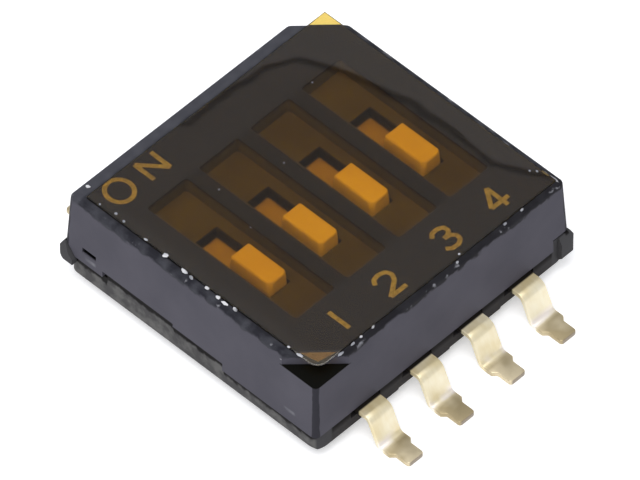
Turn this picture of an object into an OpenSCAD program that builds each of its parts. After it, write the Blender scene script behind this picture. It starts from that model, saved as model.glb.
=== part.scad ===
// Four-pole half-pitch slide DIP switch, surface mount, with its sealing film.
// The row of poles runs along X, the sliders move along Y (ON is +Y), Z is up.
// The origin is on the solder plane, under the middle of the body.

/* [Row of poles] */
// Distance from one pole to the next
pitch = 1.27; // [1.2:0.01:1.4]
// How far the recesses sit from the middle of the body, toward the number side
recess_shift = 0.03; // [0:0.01:0.08]
// How far the knobs' windows sit from the middle of the body, toward the number side
window_shift = 0.08; // [0.02:0.01:0.12]

/* [Cover] */
// Margin of the body beyond the first and the last slider's channel
end_margin = 0.79; // [0.72:0.01:1.1]
// Margin of the body beyond the ends of the sliders' channels
side_margin = 1.29; // [1.15:0.005:1.5]
// Height of the cover's top above the solder plane
cover_top = 2.20; // [2.1:0.01:2.6]
// Draft of the four side walls, in degrees
draft = 2.8; // [1:0.1:4]
// Thickness of the skirt
cover_wall = 0.42; // [0.3:0.01:0.5]
// Radius of the upright corners
corner_r = 0.10; // [0.1:0.01:0.25]
// Radius of the edge round the top face
edge_r = 0.07; // [0.04:0.01:0.09]
// Thickness of the roof between the slot recess and the slider
roof = 0.30; // [0.25:0.01:0.36]
// Leg of the triangular step in two opposite top corners
notch_leg = 0.80; // [0.5:0.01:0.95]
// Depth of the step by pole 1, on the number side
notch_depth = 0.30; // [0.2:0.01:0.45]
// Depth of the step by the last pole, on the ON side
notch_depth_on = 0.70; // [0.3:0.01:0.85]

/* [Slots] */
// Width of the recess round each knob
recess_w = 0.96; // [0.8:0.01:1]
// Length of the recess
recess_l = 3.58; // [3.2:0.01:3.8]
// Depth of the recess
recess_depth = 0.32; // [0.2:0.01:0.4]
// Radius of the recess corners
recess_r = 0.06; // [0.03:0.01:0.12]

/* [Sliders] */
// Travel from OFF to ON
travel = 0.77; // [0.6:0.01:0.85]
// Width of the knob at the recess floor
knob_w = 0.48; // [0.4:0.01:0.54]
// Length of the knob at the recess floor
knob_l = 0.97; // [0.8:0.01:1.1]
// How far the knob's top stays below the cover's top
knob_drop = 0.05; // [0.03:0.01:0.15]
// Lean of the knob's sides, in all, over its height
knob_taper = 0.03; // [0.01:0.01:0.05]
// Radius of the knob's corners on the number side
knob_r = 0.10; // [0.05:0.01:0.14]
// Radius of the knob's corners on the ON side
knob_r_on = 0.04; // [0.03:0.01:0.1]
// Width of the slider's body under the roof
slider_w = 0.90; // [0.8:0.01:0.95]
// Length of the slider's body
slider_l = 2.70; // [2.5:0.01:2.8]
// Thickness of the slider's body over its pocket
slider_deck = 0.32; // [0.25:0.01:0.4]

/* [Moving contacts] */
// Thickness of the contact strip
leaf_t = 0.05; // [0.04:0.01:0.07]
// Width of the contact strip
leaf_w = 0.56; // [0.4:0.01:0.6]
// Width of the slit that forks each arm
leaf_slit = 0.14; // [0.08:0.01:0.2]
// Half length of the flat middle of the strip
leaf_flat = 0.10; // [0.08:0.01:0.2]
// Slope of the arms, in degrees
leaf_slope = 50; // [45:1:58]
// Bend radius of the strip, at its middle line
leaf_r = 0.10; // [0.08:0.01:0.13]
// Length of the turned-up tail
leaf_tail = 0.12; // [0.06:0.01:0.15]

/* [Terminals] */
// Sheet thickness of the terminals
lead_t = 0.10; // [0.08:0.01:0.14]
// Width of the terminal where it leaves the body
lead_w = 0.54; // [0.45:0.005:0.6]
// Width of the solder foot
foot_w = 0.38; // [0.3:0.01:0.42]
// Length of the solder foot from its shoulders to its tip
foot_l = 0.395; // [0.3:0.005:0.5]
// Length of the wide part of the solder foot, from the bend to the shoulders
foot_heel = 0.16; // [0.04:0.01:0.2]
// Straight run of the terminal outside the cover's lower edge
lead_out = 0.11; // [0.1:0.01:0.3]
// How far both rows of terminals sit off the middle of the body, toward the number side
lead_shift = 0.08; // [0:0.01:0.09]
// Slope of the terminal between its two bends, in degrees
lead_slope = 66; // [45:1:75]
// Radius of both bends, at the middle line
lead_r = 0.15; // [0.1:0.01:0.2]
// Radius of the corners of the foot's tip
tip_r = 0.06; // [0.03:0.01:0.1]
// Width of the contact pad inside
pad_w = 0.48; // [0.4:0.01:0.54]
// Width of the barbs that hold the terminal in the base
barb_w = 0.70; // [0.68:0.01:0.8]

/* [Base] */
// Height of the base's floor, which is also the seam with the cover
floor_z = 0.65; // [0.55:0.01:0.7]
// Height of the base's underside above the solder plane
standoff = 0.13; // [0.06:0.01:0.16]
// Radius of the base's upright corners
base_r = 0.24; // [0.1:0.01:0.3]
// Height of the lower edge of the base's upright faces
side_low = 0.26; // [0.2:0.01:0.3]
// How far the base stays inside the cover's outline, on the terminal sides
side_in = 0.03; // [0.01:0.01:0.08]
// How far the base and its sills stay inside the cover's outline, at the ends
end_in = 0.08; // [0.03:0.01:0.1]
// How far the bevels under the base reach in from its upright faces
keel_in = 0.20; // [0.1:0.01:0.3]
// Drop of the ribs between the terminals below the base's upright faces
rib_drop = 0.07; // [0.02:0.01:0.1]
// Depth of the pocket round each terminal's root
root_depth = 0.10; // [0.05:0.01:0.15]
// Room in that pocket, on each side of the terminal and under it
root_room = 0.09; // [0.03:0.01:0.12]
// Height of the rim and the walls between the poles
rim_h = 0.35; // [0.25:0.01:0.4]
// Thickness of the rim
rim_t = 0.14; // [0.1:0.01:0.16]
// Height of the sill in each end of the base, at its low step
sill_low = 0.14; // [0.1:0.01:0.18]
// Height of the sill at its high step
sill_high = 0.21; // [0.19:0.01:0.24]
// Height of the sill under the latch window
sill_latch = 0.07; // [0.04:0.01:0.09]
// Height of the ear by pole 1 above the seam
ear_h = 0.33; // [0.2:0.01:0.34]
// Height of the lower end of that ear
ear_low = 0.60; // [0.4:0.01:0.62]
// Height of the ear by the last pole above the seam
ear_h_last = 0.25; // [0.2:0.01:0.34]
// Height of the lower end of that ear
ear_low_last = 0.28; // [0.27:0.01:0.6]
// How far each ear reaches along the end of the base
ear_l = 0.28; // [0.2:0.01:0.35]
// How far the ears stand proud of the cover
ear_proud = 0.07; // [0.03:0.01:0.12]
// Height of the slope round the top of each ear
ear_bevel = 0.15; // [0.05:0.01:0.18]
// Radius of the ears' upright corners
ear_r = 0.10; // [0.08:0.01:0.15]
// Diameter of the holes under the terminals, from the pins that held them in the mould
pin_hole_d = 0.34; // [0.2:0.01:0.4]

/* [Latches] */
// Width of each latch window
latch_w = 0.33; // [0.28:0.01:0.36]
// Height of each latch window
latch_h = 0.12; // [0.1:0.01:0.14]
// Height of the middle of the latch windows above the seam
latch_z = 0.43; // [0.4:0.01:0.5]
// How far the nibs that catch in the latch windows stay inside the cover's lower edge
latch_in = 0.18; // [0.16:0.01:0.25]
// Distance of the latch windows from the middle of the body
latch_y = 2.43; // [2.3:0.01:2.43]

/* [Film] */
// How far the sealing film stays in from the edge of the cover's top, at the ends
film_end = 0.14; // [0.08:0.01:0.3]
// How far the sealing film stays in from that edge, on the terminal sides
film_side = 0.195; // [0.12:0.005:0.3]
// Thickness of the sealing film
film_t = 0.05; // [0.03:0.01:0.08]
// How far the film sits off the middle, along the row
film_dx = 0.02; // [-0.04:0.01:0.04]
// How far the film sits off the middle, toward the number side
film_dy = 0.09; // [-0.1:0.01:0.1]

/* [Clearances] */
// Gap between the knob and its window, at each end of the travel and on each side
knob_gap = 0.02; // [0.02:0.01:0.04]
// Gap round the slider's body
slider_gap = 0.02; // [0.02:0.01:0.03]
// Gap between the moving contact and the floor it wipes
leaf_gap = 0.015; // [0.01:0.005:0.02]
// Gap at the seam between the cover and the base
seam_gap = 0.02; // [0.01:0.01:0.03]
// Gap over the sills at the ends of the base
sill_gap = 0.05; // [0.03:0.01:0.06]
// Gap round a terminal in its groove
groove_gap = 0.01; // [0.005:0.005:0.02]

/* [Hidden] */
$fn = 48;
hull_fn = 32;
cut = 0.1;
slice = 0.01;

pole_count = 4;
function pole_x(n) = (n - (pole_count + 1) / 2) * pitch;
poles = [for (n = [1 : pole_count]) pole_x(n)];

// heights
seam_z = floor_z + seam_gap;
recess_floor = cover_top - recess_depth;
roof_under = recess_floor - roof;
slider_top = roof_under - slider_gap;
slider_low = floor_z + slider_gap;
pocket_top = slider_top - slider_deck;
knob_top = cover_top - knob_drop;
skirt_top = floor_z + rim_h;

// slider stations
recess_y = -recess_shift;
window_y = -window_shift;
off_y = window_y - travel / 2;
on_y = window_y + travel / 2;
window_w = knob_w + 2 * knob_gap;
window_l = knob_l + travel + 2 * knob_gap;
channel_w = slider_w + 2 * slider_gap;
channel_l = slider_l + travel + 2 * slider_gap;

// outline of the cover's lower edge
cover_x = (pole_count - 1) * pitch + channel_w + 2 * end_margin;
cover_y = channel_l + 2 * side_margin;

// the cover leans in toward its top
lean = tan(draft) * (cover_top - seam_z);
top_x = cover_x - 2 * lean;
top_y = cover_y - 2 * lean;
film_x = top_x - 2 * film_end;
film_y = top_y - 2 * film_side;
skirt_x = cover_x - 2 * cover_wall;
skirt_y = cover_y - 2 * cover_wall;

// moving contact: the arms drop from the pocket's top to the floor
leaf_top = pocket_top - leaf_t / 2;
leaf_low = floor_z + leaf_gap + leaf_t / 2;
bend_drop = leaf_r * (1 - cos(leaf_slope));
bend_run = leaf_r * sin(leaf_slope);
arm_l = (leaf_top - leaf_low - 2 * bend_drop) / sin(leaf_slope);
wiper_y = leaf_flat + 2 * bend_run + arm_l * cos(leaf_slope);
leaf_half = wiper_y + bend_run + leaf_tail * cos(leaf_slope) + leaf_t / 2;
pocket_w = leaf_w + 2 * groove_gap;
pocket_l = 2 * (leaf_half + slider_gap);
slider_bevel = 0.05;
knob_bevel = 0.02;
knob_bevel_h = 0.03;
slit_start = leaf_flat + bend_run;
leaf_depth = leaf_top - leaf_low + leaf_t;

// terminals: the sheet leaves the base just under the cover's edge
lead_mid = floor_z - lead_t / 2;
foot_mid = lead_t / 2;
lead_fall = lead_mid - foot_mid;
lead_leg = (lead_fall - 2 * lead_r * (1 - cos(lead_slope))) / sin(lead_slope);
lead_run = 2 * lead_r * sin(lead_slope) + lead_leg * cos(lead_slope);
foot_flat = foot_l + foot_heel;
front_exit = cover_y / 2 + lead_out + lead_shift;
rear_exit = cover_y / 2 + lead_out - lead_shift;
shoulder = (lead_w - foot_w) / 2;
pad_over = 0.10;
front_end = -(on_y - wiper_y + pad_over);
rear_end = (off_y + on_y) / 2 + wiper_y;
barb_l = 0.16;
barb_y = cover_y / 2 - cover_wall - barb_l;
neck_l = 0.06;

// base outlines
base_x = cover_x - 2 * end_in;
base_y = cover_y - 2 * side_in;
keel_x = base_x - 2 * keel_in;
keel_y = base_y - 2 * keel_in;
rim_x = skirt_x - 2 * seam_gap;
rim_y = skirt_y - 2 * seam_gap;
wall_w = pitch - slider_w - 2 * slider_gap;
root_w = lead_w + 2 * root_room;
rib_gap = 0.07;
rib_w = pitch - root_w - 2 * rib_gap;
rib_in = 0.02;
bury = 0.05;

// stations along the sills
sill_start = -0.75;
sill_rise = 0.45;
sill_drop = 2.05;
ear_y = cover_y / 2 - ear_l;
ear_flat = 0.06;
post_t = 0.12;
post_w = latch_w - 2 * seam_gap;
nib_h = latch_h - 2 * seam_gap;
latch_reach = cover_wall + 2 * seam_gap + post_t;

// a rectangle with round corners, centred
module round_rect(x, y, r) {
    square([x - 2 * r, y], center = true);
    square([x, y - 2 * r], center = true);
    for (sx = [-1, 1], sy = [-1, 1])
        translate([sx * (x / 2 - r), sy * (y / 2 - r)]) circle(r = r);
}

// a strip of sheet drawn on edge along X: [length] runs straight, [radius, angle] bends
module strip(t, steps, n = 0) {
    if (n < len(steps)) {
        if (len(steps[n]) == 1) {
            translate([0, -t / 2]) square([steps[n][0], t]);
            translate([steps[n][0], 0]) strip(t, steps, n + 1);
        } else {
            r = steps[n][0];
            a = steps[n][1];
            side = sign(a);
            translate([0, side * r]) {
                intersection() {
                    difference() {
                        circle(r = r + t / 2);
                        circle(r = r - t / 2);
                    }
                    wedge(2 * r + t, side > 0 ? -90 : 90 + a, abs(a));
                }
                rotate(a) translate([0, -side * r]) strip(t, steps, n + 1);
            }
        }
    }
}

// a flat wedge from the origin that starts at angle a0 and turns by a sweep under 180 degrees
module wedge(reach, a0, sweep) {
    polygon([[0, 0],
        reach * [cos(a0), sin(a0)],
        reach * 1.5 * [cos(a0 + sweep / 2), sin(a0 + sweep / 2)],
        reach * [cos(a0 + sweep), sin(a0 + sweep)]]);
}

// a profile drawn in the YZ plane, given a width along X and centred on it
module along_x(width) {
    rotate([90, 0, 90]) translate([0, 0, -width / 2]) linear_extrude(width) children();
}

// a profile drawn in the XZ plane, given a length along Y and centred on it
module along_y(length) {
    rotate([90, 0, 0]) translate([0, 0, -length / 2]) linear_extrude(length) children();
}

// the same feature at both ends, one turned half way round the middle of the body
module both_ends() {
    for (turn = [0, 180]) rotate([0, 0, turn]) children();
}

// outer form of the cover: leaning walls, round corners and a soft top edge
module cover_blank() {
    hull() {
        for (sx = [-1, 1], sy = [-1, 1]) {
            translate([sx * (cover_x / 2 - corner_r), sy * (cover_y / 2 - corner_r), seam_z])
                cylinder(h = slice, r = corner_r, $fn = hull_fn);
            for (a = [0, 30, 60, 90])
                translate([sx * (top_x / 2 - corner_r), sy * (top_y / 2 - corner_r),
                    cover_top - edge_r * (1 - sin(a)) - slice / 2])
                    cylinder(h = slice / 2, r = corner_r - edge_r * (1 - cos(a)), $fn = hull_fn);
        }
    }
}

// triangular step in a top corner, drawn for the one by pole 1 on the number side
module corner_step(depth) {
    translate([-top_x / 2, -top_y / 2, cover_top - depth])
        linear_extrude(depth + cut)
            polygon([[-cut, -cut], [notch_leg, -cut], [notch_leg, 0], [0, notch_leg], [-cut, notch_leg]]);
}

// outline of the sill at one end of the body, with a gap over it: two steps, a low run
// under the latch window and the ear that rises toward the corner
module sill_outline(ear_top, gap) {
    polygon([
        [sill_start - gap, -cut], [sill_start - gap, sill_low + gap],
        [sill_rise - gap, sill_low + gap], [sill_rise - gap, sill_high + gap],
        [sill_drop + gap, sill_high + gap], [sill_drop + gap, sill_latch + gap],
        [ear_y, sill_latch + gap], [cover_y / 2 - ear_flat, ear_top + gap],
        [cover_y / 2 + cut, ear_top + gap], [cover_y / 2 + cut, -cut]]);
}

module cover() {
    color("#35323a")
    difference() {
        cover_blank();
        // recess, window and channel of each pole
        for (x = poles) {
            translate([x, recess_y, recess_floor])
                linear_extrude(recess_depth + cut) round_rect(recess_w, recess_l, recess_r);
            translate([x, window_y, roof_under - cut])
                linear_extrude(roof + 2 * cut) round_rect(window_w, window_l, knob_gap);
            translate([x - channel_w / 2, window_y - channel_l / 2, skirt_top - cut])
                cube([channel_w, channel_l, roof_under - skirt_top + cut]);
        }
        // room for the base's rim
        translate([-skirt_x / 2, -skirt_y / 2, seam_z - cut])
            cube([skirt_x, skirt_y, skirt_top - seam_z + cut]);
        cover_end(notch_depth, ear_h);
        rotate([0, 0, 180]) cover_end(notch_depth_on, ear_h_last);
    }
}

// what is cut out of one end of the cover, drawn for the end by pole 1
module cover_end(step_depth, ear_top) {
    corner_step(step_depth);
    // room for the base's sill and ear
    translate([-cover_x / 2, 0, floor_z])
        along_x(2 * cover_wall) sill_outline(ear_top, sill_gap);
    // latch window, through the skirt, and the slot that the latch's post stands in
    translate([-cover_x / 2, latch_y, floor_z + latch_z])
        cube([2 * latch_reach, latch_w, latch_h], center = true);
    translate([-skirt_x / 2, latch_y - latch_w / 2, seam_z])
        cube([latch_reach - cover_wall, latch_w, latch_z + latch_h / 2 - seam_gap]);
}

// plate of the base: upright faces, then bevels all round down to a smaller underside
module base_plate() {
    intersection() {
        along_y(base_y) polygon([[-base_x / 2, floor_z], [base_x / 2, floor_z],
            [base_x / 2, side_low], [keel_x / 2, standoff],
            [-keel_x / 2, standoff], [-base_x / 2, side_low]]);
        along_x(base_x) polygon([[-base_y / 2, floor_z], [base_y / 2, floor_z],
            [base_y / 2, side_low], [keel_y / 2, standoff],
            [-keel_y / 2, standoff], [-base_y / 2, side_low]]);
        translate([0, 0, standoff]) linear_extrude(floor_z - standoff)
            round_rect(base_x, base_y, base_r);
    }
    // ribs between the terminals
    for (turn = [0, 180], gap = [-1, 0, 1]) rotate([0, 0, turn])
        translate([gap * pitch - rib_w / 2, -base_y / 2 + rib_in, side_low - rib_drop])
            cube([rib_w, keel_in, rib_drop + bury]);
}

// plan of one terminal, drawn for the number side, with a gap round it
module lead_plan(inner_end, lead_exit, gap) {
    w = lead_w + 2 * gap;
    lead_end = lead_exit + lead_run + foot_flat;
    translate([-w / 2, -lead_end + foot_l]) square([w, lead_end - foot_l - barb_y + neck_l]);
    translate([-pad_w / 2 - gap, -barb_y - gap]) square([pad_w + 2 * gap, barb_y - inner_end + 2 * gap]);
    translate([-barb_w / 2 - gap, -barb_y - barb_l - gap]) square([barb_w + 2 * gap, barb_l + 2 * gap]);
    // solder foot: shoulders that taper to a narrow tip with round corners
    translate([0, -lead_end]) {
        polygon([[-lead_w / 2, foot_l], [-foot_w / 2, foot_l - shoulder], [-foot_w / 2, tip_r],
            [foot_w / 2, tip_r], [foot_w / 2, foot_l - shoulder], [lead_w / 2, foot_l]]);
        translate([-foot_w / 2 + tip_r, 0]) square([foot_w - 2 * tip_r, foot_l]);
        for (side = [-1, 1])
            translate([side * (foot_w / 2 - tip_r), tip_r]) circle(r = tip_r);
    }
}

// one terminal of the number side: pad in the base, gull wing and solder foot
module lead(inner_end, lead_exit) {
    intersection() {
        translate([0, -inner_end, lead_mid]) mirror([0, 1, 0]) along_x(barb_w)
            strip(lead_t, [[lead_exit - inner_end], [lead_r, -lead_slope], [lead_leg],
                [lead_r, lead_slope], [foot_flat]]);
        translate([0, 0, -cut]) linear_extrude(floor_z + 2 * cut) lead_plan(inner_end, lead_exit, 0);
    }
}

// groove that a terminal lies in, and the hole left by the pin that held it in the mould
module lead_groove(inner_end, lead_exit) {
    translate([0, 0, floor_z - lead_t]) linear_extrude(lead_t + groove_gap)
        lead_plan(inner_end, lead_exit, groove_gap);
    translate([0, -(barb_y + inner_end) / 2, standoff - cut])
        cylinder(h = floor_z - lead_t - standoff + 2 * cut, d = pin_hole_d);
}

// pocket in the side of the base that leaves the terminal's root free
module root_pocket() {
    translate([-root_w / 2, -base_y / 2 - cut, floor_z - lead_t - root_room])
        cube([root_w, root_depth + cut, lead_t + root_room + cut]);
}

// ear of the base, standing a little proud round the lower corner of the cover
module ear(low, high) {
    ear_top = floor_z + high;
    edge_x = cover_x / 2 + ear_proud;
    edge_y = cover_y / 2 + ear_proud;
    intersection() {
        union() {
            translate([-cover_x / 2, 0, floor_z]) along_x(2 * ear_l) sill_outline(high, 0);
            translate([-cover_x, 0, low]) cube([2 * cover_x, cover_y, floor_z - low]);
        }
        // the lower corner is cut off at a slant, and the top slopes out and down
        along_x(2 * cover_x) polygon([[ear_y, low], [cover_y / 2 - ear_flat, low],
            [edge_y, low + ear_flat + ear_proud], [edge_y, ear_top - ear_bevel],
            [cover_y / 2, ear_top], [ear_y, ear_top]]);
        along_y(2 * cover_y) polygon([[-edge_x, low], [-edge_x, ear_top - ear_bevel],
            [-cover_x / 2, ear_top], [-cover_x / 2 + ear_l, ear_top], [-cover_x / 2 + ear_l, low]]);
        translate([0, 0, low]) linear_extrude(ear_top - low)
            round_rect(2 * edge_x, 2 * edge_y, ear_r);
    }
}

// what stands on one end of the base, drawn for the end by pole 1
module base_end(ear_low_z, ear_top) {
    // sill that fills the steps in the end of the skirt
    intersection() {
        translate([-cover_x / 2 + cover_wall / 2 + bury, 0, floor_z])
            along_x(cover_wall) sill_outline(ear_top, 0);
        translate([0, 0, floor_z - bury]) linear_extrude(ear_top + 2 * bury)
            round_rect(base_x, base_y, base_r);
    }
    ear(ear_low_z, ear_top);
    // post of the latch, with a nib that hooks into the latch window
    translate([-rim_x / 2, latch_y - post_w / 2, floor_z]) {
        translate([0, 0, -bury]) cube([post_t, post_w, latch_z + nib_h / 2 + bury]);
        translate([latch_in - (cover_x - rim_x) / 2, 0, latch_z - nib_h / 2])
            cube([(cover_x - rim_x) / 2 - latch_in + bury, post_w, nib_h]);
    }
}

module base() {
    color("#2c2a30")
    difference() {
        union() {
            base_plate();
            // rim that fits inside the skirt
            translate([0, 0, floor_z - bury]) linear_extrude(rim_h + bury) difference() {
                square([rim_x, rim_y], center = true);
                square([rim_x - 2 * rim_t, rim_y - 2 * rim_t], center = true);
            }
            // walls between the poles
            for (gap = [-1, 0, 1])
                translate([gap * pitch - wall_w / 2, -rim_y / 2, floor_z - bury])
                    cube([wall_w, rim_y, rim_h + bury]);
            base_end(ear_low, ear_h);
            rotate([0, 0, 180]) base_end(ear_low_last, ear_h_last);
        }
        for (x = poles) {
            translate([x, 0, 0]) {
                lead_groove(front_end, front_exit);
                rotate([0, 0, 180]) lead_groove(rear_end, rear_exit);
                both_ends() root_pocket();
            }
        }
    }
}

// one slider at OFF, at pole x: hollow body under the roof, knob through the window
module slider(x) {
    color("#e9dfc4")
    translate([x, off_y, 0]) {
        difference() {
            along_x(slider_w) polygon([
                [-slider_l / 2, slider_low], [slider_l / 2, slider_low],
                [slider_l / 2, slider_top - slider_bevel], [slider_l / 2 - slider_bevel, slider_top],
                [-slider_l / 2 + slider_bevel, slider_top], [-slider_l / 2, slider_top - slider_bevel]]);
            translate([-pocket_w / 2, -pocket_l / 2, slider_low - cut])
                cube([pocket_w, pocket_l, pocket_top - slider_low + cut]);
        }
        knob();
    }
}

// knob of a slider: leaning sides, larger corners on the number side, a bevelled top
module knob() {
    lean_in = knob_taper / 2;
    hull() {
        for (sx = [-1, 1], end = [[-1, knob_r], [1, knob_r_on]]) {
            r = end[1];
            translate([sx * (knob_w / 2 - r), end[0] * (knob_l / 2 - r), slider_top - knob_bevel])
                cylinder(h = recess_floor - slider_top + knob_bevel, r = r, $fn = hull_fn);
            translate([sx * (knob_w / 2 - lean_in - r), end[0] * (knob_l / 2 - lean_in - r),
                knob_top - knob_bevel_h - slice])
                cylinder(h = slice, r = r, $fn = hull_fn);
            translate([sx * (knob_w / 2 - lean_in - r), end[0] * (knob_l / 2 - lean_in - r),
                knob_top - slice])
                cylinder(h = slice, r = r - knob_bevel, $fn = hull_fn);
        }
    }
}

// one moving contact at OFF, at pole x: a strip with a fork in each arm
module moving_contact(x) {
    color("#d9b45a")
    translate([x, off_y, leaf_top])
        difference() {
            for (side = [0, 1]) mirror([0, side, 0]) along_x(leaf_w)
                strip(leaf_t, [[leaf_flat], [leaf_r, -leaf_slope], [arm_l],
                    [leaf_r, 2 * leaf_slope], [leaf_tail]]);
            for (side = [0, 1]) mirror([0, side, 0])
                translate([-leaf_slit / 2, slit_start, -leaf_depth])
                    cube([leaf_slit, leaf_half, 2 * leaf_depth]);
        }
}

module front_terminal(x) {
    color("#d8cba0") translate([x, 0, 0]) lead(front_end, front_exit);
}

module rear_terminal(x) {
    color("#d8cba0") translate([x, 0, 0]) rotate([0, 0, 180]) lead(rear_end, rear_exit);
}

// film stuck over the slots, with square corners that bridge the two corner steps
module seal_film() {
    color("#b8781e", 0.6)
    translate([film_dx - film_x / 2, -film_dy - film_y / 2, cover_top])
        cube([film_x, film_y, film_t]);
}

cover();
base();
seal_film();
slider(pole_x(1));  // slider_1
slider(pole_x(2));  // slider_2
slider(pole_x(3));  // slider_3
slider(pole_x(4));  // slider_4
moving_contact(pole_x(1));  // moving_contact_1
moving_contact(pole_x(2));  // moving_contact_2
moving_contact(pole_x(3));  // moving_contact_3
moving_contact(pole_x(4));  // moving_contact_4
front_terminal(pole_x(1));  // front_terminal_1
front_terminal(pole_x(2));  // front_terminal_2
front_terminal(pole_x(3));  // front_terminal_3
front_terminal(pole_x(4));  // front_terminal_4
rear_terminal(pole_x(1));  // rear_terminal_1
rear_terminal(pole_x(2));  // rear_terminal_2
rear_terminal(pole_x(3));  // rear_terminal_3
rear_terminal(pole_x(4));  // rear_terminal_4
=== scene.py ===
import math
import bpy
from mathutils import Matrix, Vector


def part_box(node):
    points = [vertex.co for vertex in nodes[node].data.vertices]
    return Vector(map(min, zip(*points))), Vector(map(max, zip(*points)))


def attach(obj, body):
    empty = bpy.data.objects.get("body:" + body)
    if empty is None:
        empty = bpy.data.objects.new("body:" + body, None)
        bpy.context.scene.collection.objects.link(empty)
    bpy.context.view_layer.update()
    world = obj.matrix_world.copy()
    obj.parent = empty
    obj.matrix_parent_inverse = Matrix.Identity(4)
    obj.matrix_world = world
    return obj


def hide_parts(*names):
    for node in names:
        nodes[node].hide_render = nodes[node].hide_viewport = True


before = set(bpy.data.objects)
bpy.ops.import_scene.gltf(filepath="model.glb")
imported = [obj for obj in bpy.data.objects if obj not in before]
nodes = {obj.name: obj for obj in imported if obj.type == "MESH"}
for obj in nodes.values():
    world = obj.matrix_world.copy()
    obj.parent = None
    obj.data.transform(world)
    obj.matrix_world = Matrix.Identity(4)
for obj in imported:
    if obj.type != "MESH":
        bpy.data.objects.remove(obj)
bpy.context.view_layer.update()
mm = 0.001
topZ = (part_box("cover")[1] / mm).z  # the flat top that the film lies on
filmLow, filmHigh = [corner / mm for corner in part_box("seal_film")]
filmMid, filmHalf = (filmLow + filmHigh) / 2, (filmHigh - filmLow) / 2
print("frame loaded:", len(nodes), "nodes, cover top at", round(topZ, 3), "mm")


def deselectAll():
    if bpy.context.object and bpy.context.object.mode != "OBJECT":
        bpy.ops.object.mode_set(mode="OBJECT")
    bpy.ops.object.select_all(action="DESELECT")


def makeActive(piece):
    deselectAll()
    piece.hide_viewport = False
    piece.select_set(True)
    bpy.context.view_layer.objects.active = piece


def bakePlace(piece):  # the place goes into the mesh
    makeActive(piece)
    bpy.ops.object.transform_apply(location=True, rotation=True, scale=True)


def applyModifiers(piece):
    makeActive(piece)
    for mod in list(piece.modifiers):
        bpy.ops.object.modifier_apply(modifier=mod.name)


def duplicateOf(piece):
    makeActive(piece)
    bpy.ops.object.duplicate()
    return bpy.context.object


def joinParts(parts, name):
    deselectAll()
    for part in parts:
        part.select_set(True)
    bpy.context.view_layer.objects.active = parts[0]
    if len(parts) > 1:
        bpy.ops.object.join()
    piece = bpy.context.object
    piece.name = name
    return piece


def dress(piece, material, body):
    piece.data.materials.append(material)
    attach(piece, body)


def roundEdges(piece, keep, width, segments):  # keep tells by its ends, in mm, which sharp edge is rounded
    makeActive(piece)
    bpy.ops.object.mode_set(mode="EDIT")
    bpy.ops.mesh.select_mode(type="EDGE")
    bpy.ops.mesh.select_all(action="DESELECT")
    bpy.ops.object.mode_set(mode="OBJECT")
    mesh = piece.data
    sides = {}
    for face in mesh.polygons:
        for key in face.edge_keys:
            sides.setdefault(key, []).append(face.normal)
    for edge in mesh.edges:
        normals = sides[tuple(sorted(edge.vertices))]
        sharp = len(normals) == 2 and normals[0].angle(normals[1], 0) > math.radians(25)
        edge.select = sharp and all(keep(mesh.vertices[i].co / mm) for i in edge.vertices)
    bpy.ops.object.mode_set(mode="EDIT")
    bpy.ops.mesh.bevel(offset=width * mm, segments=segments, affect="EDGES", clamp_overlap=True)
    bpy.ops.mesh.select_mode(type="VERT")
    bpy.ops.object.mode_set(mode="OBJECT")


def addNode(tree, kind, **settings):  # nodes stand in columns, in the order in which they are made
    count = len(tree.nodes)
    node = tree.nodes.new(kind)
    node.location = (220 * (count // 10) - 2600, 900 - 190 * (count % 10))
    for name, value in settings.items():
        setattr(node, name, value)
    return node


def newMaterial(name):
    mat = bpy.data.materials.new(name)
    mat.use_nodes = True
    return mat, mat.node_tree, mat.node_tree.nodes["Principled BSDF"]


def objectCoords(tree):
    return addNode(tree, "ShaderNodeTexCoord").outputs["Object"]


def setPlain(shader, **values):
    names = {"color": "Base Color", "metallic": "Metallic", "rough": "Roughness", "ior": "IOR",
             "coatRough": "Coat Roughness", "coatIor": "Coat IOR", "glow": "Emission Color",
             "transmission": "Transmission Weight", "specular": "Specular IOR Level"}
    for key, value in values.items():
        shader.inputs[names[key]].default_value = value


def feed(tree, value, sock):
    if isinstance(value, bpy.types.NodeSocket):
        tree.links.new(value, sock)
    else:
        sock.default_value = value


def calc(tree, operation, *values):
    node = addNode(tree, "ShaderNodeMath", operation=operation)
    for sock, value in zip(node.inputs, values):
        feed(tree, value, sock)
    return node.outputs[0]


def plus(tree, a, b):
    return calc(tree, "ADD", a, b)


def minus(tree, a, b):
    return calc(tree, "SUBTRACT", a, b)


def times(tree, a, b):
    return calc(tree, "MULTIPLY", a, b)


def larger(tree, a, b):
    return calc(tree, "MAXIMUM", a, b)


def distance(tree, value, middle=0.0):
    return calc(tree, "ABSOLUTE", minus(tree, value, middle) if middle else value)


def ramp(tree, value, low, high, lowOut=0.0, highOut=1.0):
    node = addNode(tree, "ShaderNodeMapRange", clamp=True)
    for name, number in (("From Min", low), ("From Max", high), ("To Min", lowOut), ("To Max", highOut)):
        node.inputs[name].default_value = number
    tree.links.new(value, node.inputs["Value"])
    return node.outputs["Result"]


def depthRamp(tree, z, low, high):  # as ramp, with both heights told as mm below the cover's top
    return ramp(tree, z, topZ - low, topZ - high)


def band(tree, value, low, high, soft=0.01):  # one between two numbers, with soft ends
    rise = ramp(tree, value, low - soft, low + soft)
    return times(tree, rise, ramp(tree, value, high + soft, high - soft))


def noise(tree, vector, scale, detail):
    node = addNode(tree, "ShaderNodeTexNoise")
    node.inputs["Scale"].default_value = scale
    node.inputs["Detail"].default_value = detail
    tree.links.new(vector, node.inputs["Vector"])
    return node.outputs["Fac"]


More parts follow.
